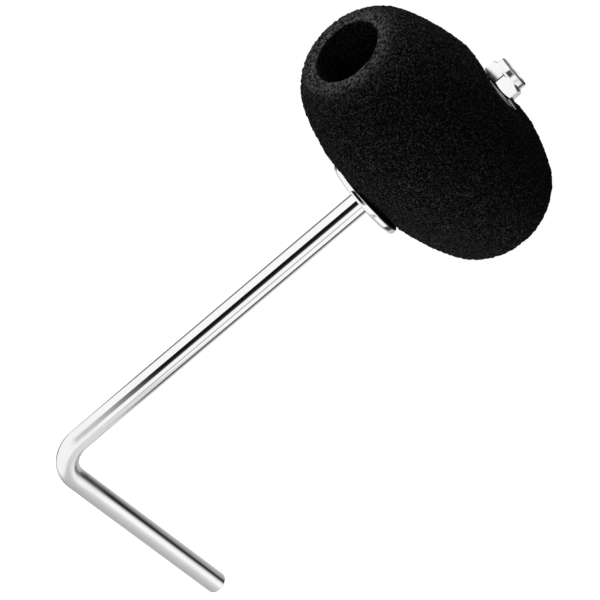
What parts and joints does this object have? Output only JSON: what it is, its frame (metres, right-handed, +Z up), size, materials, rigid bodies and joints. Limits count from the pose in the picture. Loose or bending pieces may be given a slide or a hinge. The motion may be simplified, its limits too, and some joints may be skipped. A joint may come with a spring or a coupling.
{
  "type": "bass drum beater",
  "caption": "Foam barrel beater head clamped between a flange and a washer by a locking nut, on the threaded long leg of an L-bent round rod whose short leg fits a drum pedal's clamp.",
  "frame": {"origin": "on the axis of the rod's short leg, the shank, midway along its straight run", "axes": "+X along the shank to its free end, +Z up along the long leg towards the head, +Y completes the right-handed set; the foam barrel's long axis is along X"},
  "size_m": [0.1436, 0.06, 0.2082],
  "materials": {
    "rod_chrome": "polished",
    "plate_chrome": "polished",
    "nut_chrome": "polished",
    "black_foam": "matte",
    "nylon": "satin"
  },
  "bodies": {
    "rod": {"bent_rod": "rod_chrome", "front_flange": "plate_chrome"},
    "head": {"foam_head": "black_foam"},
    "washer": {"rear_washer": "plate_chrome"},
    "nut": {"lock_nut": "nut_chrome", "nylon_ring": "nylon"}
  },
  "joints": [
    {"name": "head_turn", "type": "hinge", "parent": "rod", "child": "head", "pos_m": [-0.0525, 0, 0.16915], "axis": [0, 0, 1], "continuous": true},
    {"name": "washer_lift", "type": "slide", "parent": "rod", "child": "washer", "axis": [0, 0, 1], "range_m": [0, 0.00313]},
    {"name": "nut_turn", "type": "hinge", "parent": "washer", "child": "nut", "pos_m": [-0.0525, 0, 0.1965], "axis": [0, 0, 1], "range_deg": [0, 900]}
  ],
  "couplings": [
    {"joint": "washer_lift", "follows": "nut_turn", "m_per_rad": 0.00019894}
  ]
}
